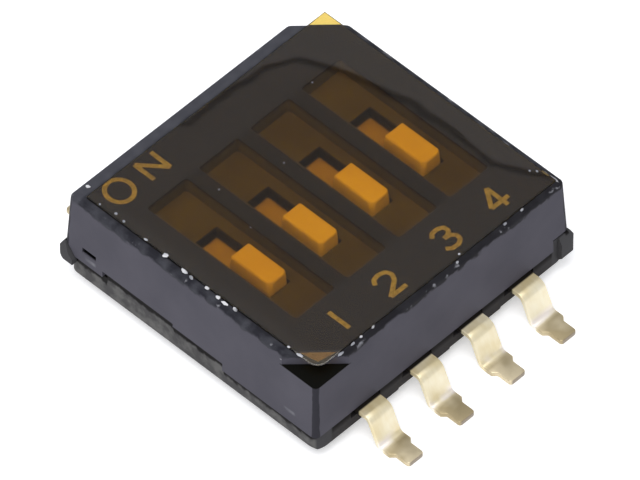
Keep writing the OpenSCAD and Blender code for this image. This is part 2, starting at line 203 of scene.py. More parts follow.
def mixColor(tree, mask, colorA, colorB):
    node = addNode(tree, "ShaderNodeMix", data_type="RGBA")
    for sock, value in ((node.inputs[0], mask), (node.inputs[6], colorA), (node.inputs[7], colorB)):
        feed(tree, value, sock)
    return node.outputs[2]


def addBump(tree, height, shader, bump):  # bump is its height in metres and its strength
    node = addNode(tree, "ShaderNodeBump")
    node.inputs["Distance"].default_value, node.inputs["Strength"].default_value = bump
    tree.links.new(height, node.inputs["Height"])
    tree.links.new(node.outputs["Normal"], shader.inputs["Normal"])


def newGroup(name, inputs, outputs):
    group = bpy.data.node_groups.new(name, "ShaderNodeTree")
    for socketName, kind, value in inputs:
        sock = group.interface.new_socket(name=socketName, in_out="INPUT", socket_type=kind)
        if value is not None:
            sock.default_value = value
    for socketName in outputs:
        group.interface.new_socket(name=socketName, in_out="OUTPUT", socket_type="NodeSocketFloat")
    return group, addNode(group, "NodeGroupInput").outputs, addNode(group, "NodeGroupOutput").inputs


def useGroup(tree, group, coords, **values):
    node = addNode(tree, "ShaderNodeGroup", node_tree=group)
    tree.links.new(coords, node.inputs["Vector"])
    for name, value in values.items():
        node.inputs[name].default_value = value
    return node.outputs


mouldLook = {"fineScale": 16000.0, "cloudScale": 900.0, "roughSpan": 0.06}


def mouldGrainGroup():  # spark-eroded skin of moulded plastic: fine grain, slow clouds and a roughness
    group, given, result = newGroup(
        "mouldGrain", [("Vector", "NodeSocketVector", None), ("Rough", "NodeSocketFloat", 0.42)],
        ["Fine", "Cloud", "Roughness"])
    fine = noise(group, given["Vector"], mouldLook["fineScale"], 3.0)
    cloud = noise(group, given["Vector"], mouldLook["cloudScale"], 4.0)
    shift = ramp(group, cloud, 0.3, 0.7, -mouldLook["roughSpan"], mouldLook["roughSpan"])
    for name, value in (("Fine", fine), ("Cloud", cloud), ("Roughness", plus(group, given["Rough"], shift))):
        group.links.new(value, result[name])
    return group


slotPlaces = {"pitch": 1.27, "half": 0.48, "midY": -0.03, "halfY": 1.79, "soft": 0.005}  # the four recesses


def placeMasksGroup():  # coordinates in mm and a mask that is one over the four recesses
    group, given, result = newGroup(
        "placeMasks", [("Vector", "NodeSocketVector", None)], ["X", "Y", "Z", "Slots", "Far"])
    axes = addNode(group, "ShaderNodeSeparateXYZ")
    group.links.new(given["Vector"], axes.inputs[0])
    x, y, z = [times(group, axes.outputs[i], 1 / mm) for i in range(3)]
    at, pitch = slotPlaces, slotPlaces["pitch"]
    turn = calc(group, "MODULO", plus(group, x, 2 * pitch), pitch)  # the poles repeat along x
    across = distance(group, turn, pitch / 2)
    along = distance(group, y, at["midY"])
    slots = times(group, ramp(group, across, at["half"] + at["soft"], at["half"] - at["soft"]),
                  ramp(group, along, at["halfY"] + at["soft"], at["halfY"] - at["soft"]))
    slots = times(group, slots, calc(group, "LESS_THAN", distance(group, x), 2 * pitch))
    for name, value in (("X", x), ("Y", y), ("Z", z), ("Slots", slots), ("Far", distance(group, y))):
        group.links.new(value, result[name])
    return group


mouldGrain = mouldGrainGroup()
placeMasks = placeMasksGroup()

coverLook = {
    "plastic": (0.083, 0.080, 0.098, 1), "plasticLight": (0.101, 0.097, 0.117, 1),
    "wetTop": (0.014, 0.013, 0.015, 1), "edge": (0.036, 0.035, 0.043, 1), "paleFleckAndHighlight": (0.22, 0.22, 0.24, 1),
    "recess": (0.094, 0.094, 0.100, 1), "recessDark": (0.073, 0.072, 0.077, 1), "windowShade": (0.026, 0.024, 0.024, 1),
    # painted shade on the top rim, with a lighter mottle, and a painted reflection on its rear side
    "rimShadeTop": (0.024, 0.024, 0.030, 1), "rimShadeLight": (0.064, 0.065, 0.076, 1),
    "rimShadeFront": (0.016, 0.015, 0.017, 1), "rimReflectionRear": (0.085, 0.086, 0.100, 1),
    "step": (0.006, 0.006, 0.005, 1), "hole": (0.003, 0.003, 0.003, 1),
    "rough": 0.44, "ior": 1.5, "specular": 0.03, "spotScale": 3600.0, "fleckScale": 5200.0, "bump": (1e-6, 0.5),
}
coverPlaces = {  # in mm; a name with Down tells mm below the cover's top
    "topDown": (0.13, 0.08), "topRagged": 0.05, "frontRim": (-2.83, -2.89), "rearRim": (2.70, 2.76),
    "upright": (6.158, 6.172), "uprightRagged": 0.012, "draft": 0.086,
    "wetX": (2.95, 2.93), "wetFront": (-2.87, -2.85), "wetRear": (2.68, 2.66), "wetDown": (0.02, 0.01),
    "recessDown": (0.02, 0.05), "pitDown": (0.34, 0.36), "stepAt": (-5.21, -5.24), "stepDown": (0.31, 0.29),
    "latchY": (2.26, 2.60), "latchZ": (1.01, 1.15), "latchX": (3.13, 3.11),
    "hookHighlightY": (2.28, 2.52, 0.03), "hookHighlightZ": (0.88, 0.95, 0.02),
    "fleckX": (3.01, 3.06), "fleckY": (2.90, 2.95), "fleckDown": (0.12, 0.03),
}


def coverMaterial():
    mat, tree, shader = newMaterial("coverPlastic")
    coords = objectCoords(tree)
    look, at = coverLook, coverPlaces
    grain = useGroup(tree, mouldGrain, coords, Rough=look["rough"])
    masks = useGroup(tree, placeMasks, coords)
    x, y, z, far = [masks[name] for name in ("X", "Y", "Z", "Far")]
    wide = distance(tree, x)
    color = mixColor(tree, ramp(tree, grain["Cloud"], 0.35, 0.65), look["plastic"], look["plasticLight"])
    # painted shade: the top and its rounded edge are darker than the sides, down to an uneven line, darkest at
    # the front; the rear rim gets a lighter painted reflection
    spots = noise(tree, coords, look["spotScale"], 5.0)
    ragged = ramp(tree, spots, 0.35, 0.65, -at["topRagged"], at["topRagged"])
    upper = depthRamp(tree, plus(tree, z, ragged), *at["topDown"])
    rimShading = mixColor(tree, ramp(tree, spots, 0.40, 0.72), look["rimShadeTop"], look["rimShadeLight"])
    rimShading = mixColor(tree, ramp(tree, y, *at["frontRim"], 0.0, 0.8), rimShading, look["rimShadeFront"])
    rimShading = mixColor(tree, ramp(tree, y, *at["rearRim"], 0.0, 0.6), rimShading, look["rimReflectionRear"])
    color = mixColor(tree, upper, color, rimShading)
    # the upright edges between the side faces are darker, a thin dark line down each corner
    around = calc(tree, "MULTIPLY_ADD", z, at["draft"], plus(tree, wide, far))
    ragged = ramp(tree, spots, 0.3, 0.7, -at["uprightRagged"], at["uprightRagged"])
    color = mixColor(tree, ramp(tree, plus(tree, around, ragged), *at["upright"]), color, look["edge"])
    # the glue of the film wets the flat top, so it loses its own shine there
    wet = times(tree, ramp(tree, y, *at["wetFront"]), ramp(tree, y, *at["wetRear"]))
    wet = times(tree, wet, ramp(tree, wide, *at["wetX"]))
    wet = times(tree, wet, depthRamp(tree, z, *at["wetDown"]))
    color = mixColor(tree, wet, color, look["wetTop"])
    # the recess floors are dull, and painted shade darkens them low down in the windows
    floor = mixColor(tree, ramp(tree, grain["Cloud"], 0.4, 0.6), look["recess"], look["recessDark"])
    floor = mixColor(tree, depthRamp(tree, z, *at["pitDown"]), floor, look["windowShade"])
    inside = times(tree, masks["Slots"], depthRamp(tree, z, *at["recessDown"]))
    color = mixColor(tree, inside, color, floor)
    # painted shadow: the front corner step has a black floor, shaded by the film's tip, and painted shade makes
    # the latch windows dark inside
    low, high = [topZ - down for down in at["stepDown"]]
    step = times(tree, ramp(tree, plus(tree, x, y), *at["stepAt"]), band(tree, z, low, high))
    color = mixColor(tree, step, color, look["step"])
    latch = times(tree, band(tree, far, *at["latchY"]), band(tree, z, *at["latchZ"]))
    latch = times(tree, latch, ramp(tree, wide, *at["latchX"]))
    color = mixColor(tree, latch, color, look["hole"])
    # painted highlight: a pale patch under each latch window, where the hook inside catches the light
    hookHighlight = times(tree, band(tree, far, *at["hookHighlightY"]), band(tree, z, *at["hookHighlightZ"]))
    hookHighlight = times(tree, hookHighlight, ramp(tree, grain["Cloud"], 0.40, 0.55))
    color = mixColor(tree, hookHighlight, color, look["paleFleckAndHighlight"])
    # light flecks along the upper edges
    rim = larger(tree, ramp(tree, wide, *at["fleckX"]), ramp(tree, far, *at["fleckY"]))
    rim = times(tree, rim, depthRamp(tree, z, *at["fleckDown"]))
    rimFlecks = times(tree, ramp(tree, noise(tree, coords, look["fleckScale"], 4.0), 0.63, 0.70), rim)
    color = mixColor(tree, rimFlecks, color, look["paleFleckAndHighlight"])
    tree.links.new(color, shader.inputs["Base Color"])
    tree.links.new(larger(tree, grain["Roughness"], larger(tree, wet, inside)), shader.inputs["Roughness"])
    addBump(tree, grain["Fine"], shader, look["bump"])
    setPlain(shader, ior=look["ior"], specular=look["specular"])
    return mat


baseLook = {
    "seamShade": (0.005, 0.004, 0.004, 1), "low": (0.045, 0.042, 0.043, 1), "ear": (0.062, 0.061, 0.064, 1),
    "end": (0.075, 0.073, 0.074, 1), "endLight": (0.135, 0.132, 0.128, 1),
    "rough": 0.75, "ior": 1.5, "specular": 0.15, "blotchScale": 4200.0, "bump": (3e-6, 0.8),
}
basePlaces = {  # in mm
    "lowZ": (0.56, 0.44), "cornerX": (2.72, 2.76), "endX": (3.02, 3.05), "earX": (3.11, 3.13),
    "earY": (3.055, 3.07), "sillZ": 0.65, "seam": (0.20, 0.15), "seamRagged": 0.04,
    # place, run and rise of each step along an end's sill
    "sillSteps": [(-0.75, 0.0, 0.14), (0.45, 0.0, 0.07), (2.05, 0.0, -0.14), (2.78, 0.2, 0.26)],
}


def baseMaterial():
    mat, tree, shader = newMaterial("basePlastic")
    coords = objectCoords(tree)
    look, at = baseLook, basePlaces
    grain = useGroup(tree, mouldGrain, coords, Rough=look["rough"])
    masks = useGroup(tree, placeMasks, coords)
    z, wide = masks["Z"], distance(tree, masks["X"])
    blotch = noise(tree, coords, look["blotchScale"], 5.0)
    # painted shade on the upper side of the base, just under the cover
    side = mixColor(tree, ramp(tree, z, *at["lowZ"]), look["seamShade"], look["low"])
    side = mixColor(tree, ramp(tree, wide, *at["cornerX"]), side, look["ear"])
    end = mixColor(tree, ramp(tree, blotch, 0.42, 0.62), look["end"], look["endLight"])
    # painted shade: a dark, uneven line where the end's sill meets the cover; each end is the other one turned
    # round
    turned = times(tree, masks["Y"], calc(tree, "SIGN", times(tree, masks["X"], -1.0)))
    sill = at["sillZ"]
    for start, run, rise in at["sillSteps"]:
        sill = calc(tree, "MULTIPLY_ADD", ramp(tree, turned, start - 0.01, start + 0.01 + run), rise, sill)
    ragged = ramp(tree, blotch, 0.3, 0.7, -at["seamRagged"], at["seamRagged"])
    below = plus(tree, minus(tree, sill, z), ragged)
    end = mixColor(tree, ramp(tree, below, *at["seam"]), end, look["seamShade"])
    color = mixColor(tree, ramp(tree, wide, *at["endX"]), side, end)
    proud = larger(tree, ramp(tree, wide, *at["earX"]), ramp(tree, masks["Far"], *at["earY"]))
    tree.links.new(mixColor(tree, proud, color, look["ear"]), shader.inputs["Base Color"])
    tree.links.new(grain["Roughness"], shader.inputs["Roughness"])
    addBump(tree, plus(tree, grain["Fine"], blotch), shader, look["bump"])
    setPlain(shader, ior=look["ior"], specular=look["specular"])
    return mat


sliderLook = {
    "amber": (0.83, 0.715, 0.30, 1), "amberDeep": (0.76, 0.65, 0.26, 1),
    "deckShade": (0.42, 0.34, 0.24, 1), "deckShadeLowX": (0.46, 0.38, 0.28, 1),  # painted shade on the low part behind the knob
    "rough": 0.45, "ior": 1.5, "bump": (1.5e-6, 0.5), "deckX": (-2.2, 2.2), "deckDown": (0.42, 0.56),
}


def sliderMaterial():
    mat, tree, shader = newMaterial("sliderPlastic")
    coords = objectCoords(tree)
    look = sliderLook
    grain = useGroup(tree, mouldGrain, coords, Rough=look["rough"])
    masks = useGroup(tree, placeMasks, coords)
    color = mixColor(tree, ramp(tree, grain["Cloud"], 0.3, 0.7), look["amber"], look["amberDeep"])
    # painted shade: the deck deep in the window is darker, and its tone changes across x, from pole to pole, as
    # the light falls
    deckShade = mixColor(tree, ramp(tree, masks["X"], *look["deckX"]), look["deckShadeLowX"], look["deckShade"])
    color = mixColor(tree, depthRamp(tree, masks["Z"], *look["deckDown"]), color, deckShade)
    tree.links.new(color, shader.inputs["Base Color"])
    tree.links.new(grain["Roughness"], shader.inputs["Roughness"])
    addBump(tree, grain["Fine"], shader, look["bump"])
    setPlain(shader, ior=look["ior"])
    return mat


stripLook = {"markScale": 3500.0, "markStretch": (4.0, 1.0, 1.0), "patchScale": 1800.0, "rough": 0.32,
             "roughSpan": 0.16, "bump": (2.5e-6, 0.7)}
leadLook = {
    "plating": (0.80, 0.665, 0.37, 1), "platingPale": (0.98, 0.905, 0.69, 1), "bendHighlight": (1.0, 0.92, 0.84, 1),
    "foot": (0.45, 0.365, 0.21, 1), "footPale": (0.71, 0.61, 0.41, 1),
    "bareEnd": (0.30, 0.25, 0.19, 1), "rootShadow": (0.012, 0.009, 0.006, 1), "metallic": 0.55,
    "midY": -0.08, "rootY": 3.02, "slopeY": (3.14, 3.32), "footY": 3.62, "toeY": 4.135,
}
springLook = {"brass": (0.78, 0.60, 0.30, 1), "brassPale": (0.84, 0.68, 0.38, 1), "metallic": 1.0}


def stripMaterial(name):  # rolled strip: marks that run along it, softer patches, and both in its roughness
    mat, tree, shader = newMaterial(name)
    coords = objectCoords(tree)
    stretch = addNode(tree, "ShaderNodeMapping")
    stretch.inputs["Scale"].default_value = stripLook["markStretch"]
    tree.links.new(coords, stretch.inputs["Vector"])
    marks = noise(tree, stretch.outputs["Vector"], stripLook["markScale"], 5.0)
    patches = noise(tree, coords, stripLook["patchScale"], 2.0)
    rough = calc(tree, "MULTIPLY_ADD", marks, stripLook["roughSpan"], stripLook["rough"])
    tree.links.new(rough, shader.inputs["Roughness"])
    addBump(tree, plus(tree, marks, patches), shader, stripLook["bump"])
    return mat, tree, shader, coords, ramp(tree, marks, 0.35, 0.65), patches


def springMaterial():
    mat, tree, shader, coords, marks, patches = stripMaterial("springStrip")
    color = mixColor(tree, marks, springLook["brass"], springLook["brassPale"])
    tree.links.new(color, shader.inputs["Base Color"])
    setPlain(shader, metallic=springLook["metallic"])
    return mat


def leadMaterial():
    mat, tree, shader, coords, marks, patches = stripMaterial("leadPlating")
    look = leadLook
    footY, rootY, toeY = look["footY"], look["rootY"], look["toeY"]
    out = distance(tree, useGroup(tree, placeMasks, coords)["Y"], look["midY"])
    # paler down the slope, a painted sheen, and in mottled patches and marks of the plating
    sheenAndMottle = ramp(tree, out, *look["slopeY"], 0.0, 0.25)
    sheenAndMottle = calc(tree, "MULTIPLY_ADD", ramp(tree, patches, 0.38, 0.62), 0.55, sheenAndMottle)
    sheenAndMottle = calc(tree, "MULTIPLY_ADD", marks, 0.2, sheenAndMottle)
    color = mixColor(tree, sheenAndMottle, look["plating"], look["platingPale"])
    # duller on the foot, and a painted highlight in patches on the bend above it
    foot = mixColor(tree, ramp(tree, patches, 0.4, 0.6), look["foot"], look["footPale"])
    color = mixColor(tree, ramp(tree, out, footY - 0.05, footY + 0.05), color, foot)
    bend = times(tree, band(tree, out, footY - 0.13, footY - 0.01, 0.02), ramp(tree, patches, 0.42, 0.56))
    color = mixColor(tree, bend, color, look["bendHighlight"])
    # painted shadow at the root under the cover's edge, and bare metal at the sheared toe
    color = mixColor(tree, ramp(tree, out, rootY + 0.03, rootY), color, look["rootShadow"])
    color = mixColor(tree, ramp(tree, out, toeY, toeY + 0.015), color, look["bareEnd"])
    tree.links.new(color, shader.inputs["Base Color"])
    setPlain(shader, metallic=look["metallic"])
    return mat


filmLook = {
    "amber": (0.80, 0.585, 0.13, 1), "amberDeep": (0.75, 0.53, 0.105, 1),
    "creaseShade": (0.40, 0.27, 0.06, 1), "rim": (0.20, 0.15, 0.05, 1),
    "rough": 0.11, "ior": 1.5, "cloudScale": 500.0, "bump": (2e-5, 0.03),
    "haze": 0.57, "hazeSlot": 0.31, "hazeBridge": 0.46, "hazeTip": 0.9, "hazeLeft": 0.66, "hazeLifted": 0.74,
    "hazeCrease": 0.2, "hazeRough": 0.5, "hazeIor": 1.9,
}
filmPlaces = {  # in mm
    "creaseHalf": (0.01, 0.11), "creaseRagged": 0.10, "creaseX": (-1.4, -0.8), "creaseMost": 0.6,
    "liftedFrom": (0.02, 0.08), "liftedX": (-2.6, -0.6), "rim": (-0.018, -0.010), "tipAt": (5.25, 5.15),
    "middleY": (-1.80, 1.74, 0.06), "middleX": (-2.4, 2.4, 0.06), "leftX": (-2.45, -2.75),
    "bridgeAt": (-5.18, -5.24), "upperDown": (-0.02, -0.04),
}
# the crease is where the glue lets go: straight runs, each with the way out of it and a point on it, in mm
creaseRuns = [(0.0, 1.0, -1.05, 2.62), (0.507, 0.862, 1.38, 2.59), (0.971, 0.239, 1.89, 2.29),
              (1.0, 0.0, 2.45, -1.0)]
creaseEnd = (0.834, 0.552, 2.434, -1.81)  # it runs out at the edge of the film


def creaseLine(tree, x, y, cloud):  # mm beyond the crease, with its small waves
    def beyond(run):
        outX, outY, atX, atY = run
        return calc(tree, "MULTIPLY_ADD", x, outX,
                    calc(tree, "MULTIPLY_ADD", y, outY, -outX * atX - outY * atY))

    out = beyond(creaseRuns[0])
    for run in creaseRuns[1:]:
        out = larger(tree, out, beyond(run))
    out = calc(tree, "MINIMUM", out, beyond(creaseEnd))
    wave = filmPlaces["creaseRagged"]
    return plus(tree, out, ramp(tree, cloud, 0.35, 0.65, -wave, wave))


def filmMaterial():
    mat, tree, shader = newMaterial("amberFilm")
    coords = objectCoords(tree)
    look, at = filmLook, filmPlaces
    masks = useGroup(tree, placeMasks, coords)
    x, y, z = [masks[name] for name in ("X", "Y", "Z")]
    cloud = noise(tree, coords, look["cloudScale"], 3.0)
    color = mixColor(tree, ramp(tree, cloud, 0.3, 0.7), look["amber"], look["amberDeep"])
    out = creaseLine(tree, x, y, cloud)
    creaseShade = minus(tree, 1.0, ramp(tree, distance(tree, out), *at["creaseHalf"]))
    creaseShade = times(tree, creaseShade, ramp(tree, x, *at["creaseX"], 0.0, at["creaseMost"]))
    lifted = times(tree, ramp(tree, out, *at["liftedFrom"]), ramp(tree, x, *at["liftedX"]))
    # painted shade: the crease darkens the film along the line where it lifts
    color = mixColor(tree, creaseShade, color, look["creaseShade"])
    # the cut edge is painted dark, a painted shade over its bright bevel, but for the two tips that stand over
    # the corner steps
    rim = larger(tree, minus(tree, distance(tree, x, filmMid.x), filmHalf.x),
                 minus(tree, distance(tree, y, filmMid.y), filmHalf.y))
    corner = plus(tree, x, y)
    rim = times(tree, ramp(tree, rim, *at["rim"]), ramp(tree, distance(tree, corner), *at["tipAt"]))
    color = mixColor(tree, rim, color, look["rim"])
    # haze: least over the recesses, more round them, most where the film has lifted and over the front step
    middle = times(tree, band(tree, y, *at["middleY"]), band(tree, x, *at["middleX"]))
    haze = ramp(tree, middle, 0.0, 1.0, look["haze"], look["hazeBridge"])
    haze = plus(tree, haze, times(tree, masks["Slots"], look["hazeSlot"] - look["hazeBridge"]))
    haze = larger(tree, haze, times(tree, lifted, look["hazeLifted"]))
    haze = larger(tree, haze, ramp(tree, x, *at["leftX"], 0.0, look["hazeLeft"]))
    haze = larger(tree, haze, ramp(tree, corner, *at["bridgeAt"], 0.0, look["hazeTip"]))
    haze = times(tree, haze, ramp(tree, larger(tree, creaseShade, rim), 0.0, 1.0, 1.0, look["hazeCrease"]))
    haze = times(tree, haze, depthRamp(tree, z, *at["upperDown"]))  # on the upper face only
    tree.links.new(color, shader.inputs["Base Color"])
    tree.links.new(haze, shader.inputs["Coat Weight"])
    addBump(tree, cloud, shader, look["bump"])
    setPlain(shader, rough=look["rough"], ior=look["ior"], transmission=1.0,
             coatRough=look["hazeRough"], coatIor=look["hazeIor"])
    clear = addNode(tree, "ShaderNodeBsdfTransparent")  # lamps shine straight through the film
    tree.links.new(color, clear.inputs["Color"])
    mix = addNode(tree, "ShaderNodeMixShader")
    tree.links.new(addNode(tree, "ShaderNodeLightPath").outputs["Is Shadow Ray"], mix.inputs[0])
    tree.links.new(shader.outputs[0], mix.inputs[1])
    tree.links.new(clear.outputs[0], mix.inputs[2])
    tree.links.new(mix.outputs[0], tree.nodes["Material Output"].inputs["Surface"])
    return mat


speckLook = {  # two tones, the scale of the noise between them and the roughness
    "paleInk": ((0.43, 0.48, 0.60, 1), (0.29, 0.33, 0.42, 1), 14000.0, 0.7),
    "driedGlue": ((0.24, 0.24, 0.26, 1), (0.19, 0.19, 0.21, 1), 9000.0, 0.6),
    "fleckWhite": ((0.72, 0.72, 0.74, 1), (0.28, 0.29, 0.32, 1), 2600.0, 0.5),
    "dustGrey": ((0.34, 0.34, 0.36, 1), (0.20, 0.20, 0.22, 1), 5200.0, 0.7),
}


def speckledMaterial(name):
    toneA, toneB, scale, rough = speckLook[name]
    mat, tree, shader = newMaterial(name)
    wear = noise(tree, objectCoords(tree), scale, 2.0)
    tree.links.new(mixColor(tree, ramp(tree, wear, 0.4, 0.62), toneA, toneB), shader.inputs["Base Color"])
    tree.links.new(ramp(tree, wear, 0.3, 0.7, rough - 0.1, rough + 0.1), shader.inputs["Roughness"])
    return mat


coverPlastic = coverMaterial()
basePlastic = baseMaterial()
sliderPlastic = sliderMaterial()
leadPlating = leadMaterial()
springStrip = springMaterial()
amberFilm = filmMaterial()
paleInk, driedGlue, fleckWhite, dustGrey = [speckledMaterial(name) for name in speckLook]
print("materials made")

solidLook = [("cover", coverPlastic), ("base", basePlastic)]
solidLook += [("moving_contact_%d" % pole, springStrip) for pole in range(1, 5)]
for name, material in solidLook:
    nodes[name].data.materials.clear()
    nodes[name].data.materials.append(material)

softLook = {"width": 0.03, "sliderSegments": 3, "leadSegments": 2, "hard": 30, "smooth": 35}  # mm and degrees


def softCopy(nodeName, pieceName, segments):  # the solid with its hard edges softened
    piece = duplicateOf(nodes[nodeName])
    piece.name = pieceName
    piece.parent = None
    for key in list(piece.keys()):
        if key.startswith("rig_"):
            del piece[key]
    makeActive(piece)
    bpy.ops.object.mode_set(mode="EDIT")
    bpy.ops.mesh.select_all(action="SELECT")
    bpy.ops.mesh.remove_doubles(threshold=1e-6)
    bpy.ops.mesh.dissolve_limited(angle_limit=math.radians(0.5))
    bpy.ops.object.mode_set(mode="OBJECT")
    bevel = piece.modifiers.new("softEdge", "BEVEL")
    bevel.width = softLook["width"] * mm
    bevel.segments = segments
    bevel.limit_method = "ANGLE"
    bevel.angle_limit = math.radians(softLook["hard"])
    applyModifiers(piece)
    bpy.ops.object.shade_smooth_by_angle(angle=math.radians(softLook["smooth"]))
    flat = piece.modifiers.new("flatFaces", "WEIGHTED_NORMAL")  # broad faces stay flat beside soft edges
    flat.keep_sharp = True
    applyModifiers(piece)
    piece.data.materials.clear()
    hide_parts(nodeName)
    return piece


for pole in range(1, 5):
    slider = "slider_%d" % pole
    dress(softCopy(slider, "knobSlider_%d" % pole, softLook["sliderSegments"]), sliderPlastic, slider)
    for row in ("front", "rear"):
        lead = softCopy("%s_terminal_%d" % (row, pole), "%sLead_%d" % (row, pole), softLook["leadSegments"])
        dress(lead, leadPlating, "housing")
print("sliders and leads softened")

filmShape = {"under": 0.003, "down": 0.003,  # mm above the cover, and mm below the top of the solid
             "edge": 0.006, "tip": 0.20}


def makeFilm():
    deselectAll()
    low = Vector((filmLow.x, filmLow.y, topZ + filmShape["under"]))
    high = Vector((filmHigh.x, filmHigh.y, filmHigh.z - filmShape["down"]))
    bpy.ops.mesh.primitive_cube_add(size=1, location=(low + high) / 2 * mm, scale=(high - low) * mm)
    film = bpy.context.object
    film.name = "amberSealFilm"
    bakePlace(film)
    roundEdges(film, lambda co: co.x < 0 and co.y < 0, filmShape["tip"], 4)  # the front tip is worn round
    bevel = film.modifiers.new("cutEdge", "BEVEL")
    bevel.width = filmShape["edge"] * mm
    bevel.segments = 2
    applyModifiers(film)
    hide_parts("seal_film")
    dress(film, amberFilm, "housing")


makeFilm()
print("film laid")

inkLook = {"stroke": 0.090, "rise": 0.0006, "thick": 0.0015, "ringSteps": 40, "bendSteps": 6}
glyphs = {  # strokes in a box one wide and one tall, about its middle
    "O": [("ring", 0.5, 0.5)],
    "N": [("line", (-0.5, -0.5), (-0.5, 0.5)), ("line", (-0.5, 0.5), (0.5, -0.5)),
          ("line", (0.5, -0.5), (0.5, 0.5))],
    "1": [("line", (0.0, -0.5), (0.0, 0.5))],
    "2": [("bend", (-0.48, 0.24), (-0.32, 0.44), (0.0, 0.5), (0.36, 0.42), (0.48, 0.2), (0.34, -0.04),
           (-0.1, -0.3), (-0.48, -0.5)), ("line", (-0.48, -0.5), (0.5, -0.5))],
    "3": [("bend", (-0.46, 0.32), (-0.25, 0.48), (0.1, 0.5), (0.38, 0.4), (0.42, 0.2), (0.25, 0.06),
           (-0.08, 0.03)),
          ("bend", (-0.08, 0.03), (0.28, 0.0), (0.48, -0.16), (0.44, -0.38), (0.15, -0.5), (-0.22, -0.48),
           (-0.46, -0.32))],
    "4": [("line", (0.14, -0.5), (0.14, 0.5)), ("line", (0.14, 0.5), (-0.5, -0.24)),
          ("line", (-0.5, -0.24), (0.5, -0.24))],
}
signs = [  # place of the middle, width and height, in mm
    ("O", -2.43, 2.38, 0.50, 0.54), ("N", -1.63, 2.37, 0.40, 0.48), ("1", -1.89, -2.36, 0.40, 0.50),
    ("2", -0.71, -2.39, 0.40, 0.50), ("3", 0.71, -2.40, 0.38, 0.50), ("4", 1.95, -2.38, 0.42, 0.52)]


def makeStroke(kind, points, wide, tall):
    curve = bpy.data.curves.new("stroke", "CURVE")
    curve.dimensions = "3D"
    if kind == "ring":
        turns = [2 * math.pi * i / inkLook["ringSteps"] for i in range(inkLook["ringSteps"])]
        points = [(points[0] * math.cos(turn), points[1] * math.sin(turn)) for turn in turns]
    spline = curve.splines.new("NURBS" if kind == "bend" else "POLY")
    if kind == "bend":
        spline.order_u = 4
        spline.use_endpoint_u = True
        spline.resolution_u = inkLook["bendSteps"]
    spline.use_cyclic_u = kind == "ring"
    spline.points.add(len(points) - 1)
    for point, (px, py) in zip(spline.points, points):
        point.co = (px * wide * mm, py * tall * mm, 0, 1)
    curve.bevel_depth = inkLook["stroke"] / 2 * mm
    curve.bevel_resolution = 3
    curve.use_fill_caps = True
    part = bpy.data.objects.new("stroke", curve)
    bpy.context.scene.collection.objects.link(part)
    makeActive(part)
    bpy.ops.object.convert(target="MESH")
    return bpy.context.object


def makeSign(letter, x, y, wide, tall):
    strokes = [makeStroke(kind, points, wide, tall) for kind, *points in glyphs[letter]]
    sign = joinParts(strokes, "sign_%s" % letter)
    sign.scale = (1, 1, inkLook["thick"] / inkLook["stroke"])  # the round strokes are pressed flat
    sign.location = (x * mm, y * mm, (topZ + inkLook["rise"] + inkLook["thick"] / 2) * mm)
    bakePlace(sign)
    dress(sign, paleInk, "housing")


for sign in signs:
    makeSign(*sign)
print("signs printed")

glueLook = {"corners": [(-2.80, -2.75), (-2.40, -2.83), (-2.89, -2.35)], "down": 0.008, "thick": 0.006}


def makeTipGlue():  # glue left under the film where it bridges the front corner step
    deselectAll()
    bpy.ops.mesh.primitive_circle_add(vertices=3, radius=1, fill_type="NGON")
    flake = bpy.context.object
    for vert, (x, y) in zip(flake.data.vertices, glueLook["corners"]):
        vert.co = (x * mm, y * mm, (topZ - glueLook["down"]) * mm)
    bakePlace(flake)
    solid = flake.modifiers.new("thickness", "SOLIDIFY")
    solid.thickness = glueLook["thick"] * mm
    solid.offset = 1
    applyModifiers(flake)
    bpy.ops.object.mode_set(mode="EDIT")
    bpy.ops.mesh.select_all(action="SELECT")
    bpy.ops.mesh.normals_make_consistent(inside=False)
    bpy.ops.object.mode_set(mode="OBJECT")
    flake.name = "tipGlue"
    dress(flake, driedGlue, "housing")


makeTipGlue()

fleckLook = {"size": 0.8, "beside": (0.022, 0.05), "onFilm": (0.003, 0.03), "speckTall": 0.02, "uneven": 0.20}
flecks = [  # x, y, length along y, width, turn in degrees: pale flecks along the upper edges
    (-2.74, 2.84, 0.10, 0.07, 30), (-2.90, 2.39, 0.05, 0.04, 0), (-2.86, 2.04, 0.07, 0.06, 20),
    (-2.89, 1.82, 0.07, 0.06, -20), (-2.92, 1.26, 0.11, 0.05, 10), (-2.94, 0.77, 0.12, 0.11, 40),
    (-2.95, 0.30, 0.20, 0.09, 0), (-2.97, 0.12, 0.12, 0.08, -15), (-2.95, -0.24, 0.11, 0.08, 10),
    (-2.97, -0.52, 0.12, 0.08, 0), (-2.98, -0.70, 0.16, 0.07, 5), (-2.96, -0.92, 0.12, 0.08, -10),
    (-2.94, -2.18, 0.08, 0.05, 0), (-2.94, -2.44, 0.16, 0.07, 10), (-2.42, -2.91, 0.06, 0.16, 0),
    (-2.11, -2.90, 0.05, 0.12, 10), (-1.90, -2.89, 0.05, 0.08, 0), (-1.60, -2.89, 0.05, 0.08, 20),
    (0.45, -2.92, 0.05, 0.07, 0), (0.59, -2.83, 0.05, 0.05, 0), (1.65, -2.91, 0.05, 0.10, 0),
    (2.08, -2.90, 0.05, 0.09, 0)]
